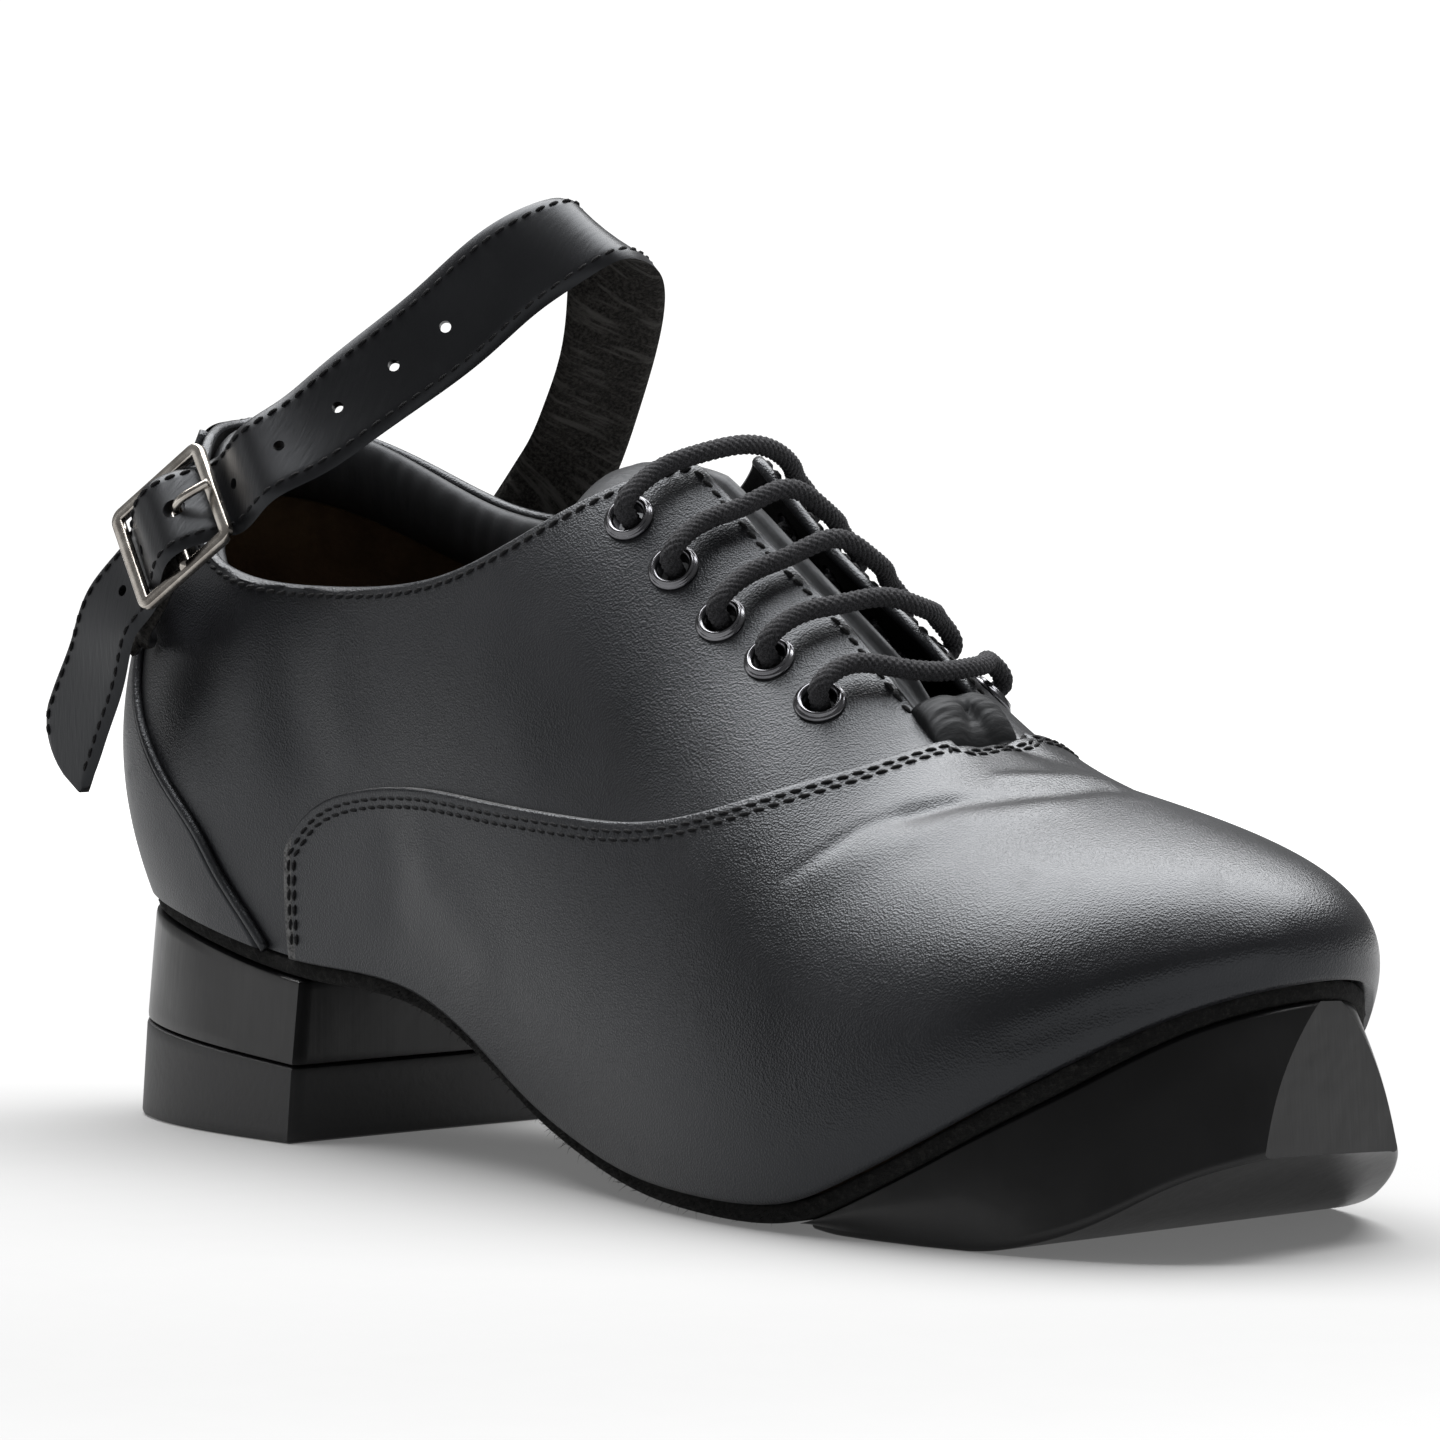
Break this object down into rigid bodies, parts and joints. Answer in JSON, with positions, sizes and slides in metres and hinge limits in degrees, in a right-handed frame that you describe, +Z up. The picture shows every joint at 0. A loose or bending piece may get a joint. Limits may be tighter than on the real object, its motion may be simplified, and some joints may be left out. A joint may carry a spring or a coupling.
{
  "type": "irish hard shoe",
  "caption": "Right Irish dance hard shoe in black leather with a resin toe tip and heel, bar lacing and a buckled ankle strap.",
  "frame": {"origin": "on the floor, in the middle of the heel lift's flat underside", "axes": "+X toward the toe, +Y toward the inner side of this right shoe, +Z up"},
  "size_m": [0.2614, 0.0933, 0.1523],
  "materials": {
    "black_leather": "smooth black leather with fine grain, soft sheen",
    "soft_leather": "soft black leather, matte",
    "strap_leather": "black strap leather, suede underside",
    "insole_board": "brown leather board, matte",
    "sole_leather": "rough black sole leather",
    "gloss_resin": "glossy black resin",
    "satin_resin": "satin black resin",
    "braided_cord": "braided black polyester, fuzzy",
    "gunmetal": "dark gunmetal, glossy",
    "polished_nickel": "polished nickel with darker patches"
  },
  "bodies": {
    "root": {"upper": "black_leather", "vamp_panel": "black_leather", "heel_counter": "black_leather", "collar_pad": "soft_leather", "tongue": "soft_leather", "insole": "insole_board", "outsole": "sole_leather", "heel_block": "gloss_resin", "heel_lift": "satin_resin", "toe_tip": "gloss_resin", "lace": "braided_cord", "ankle_strap": "strap_leather", "anchor_strap": "strap_leather", "buckle_frame": "polished_nickel", "buckle_prong": "polished_nickel", "eyelet_outer_1": "gunmetal", "eyelet_outer_2": "gunmetal", "eyelet_outer_3": "gunmetal", "eyelet_outer_4": "gunmetal", "eyelet_outer_5": "gunmetal", "eyelet_inner_1": "gunmetal", "eyelet_inner_2": "gunmetal", "eyelet_inner_3": "gunmetal", "eyelet_inner_4": "gunmetal", "eyelet_inner_5": "gunmetal"}
  },
  "joints": []
}
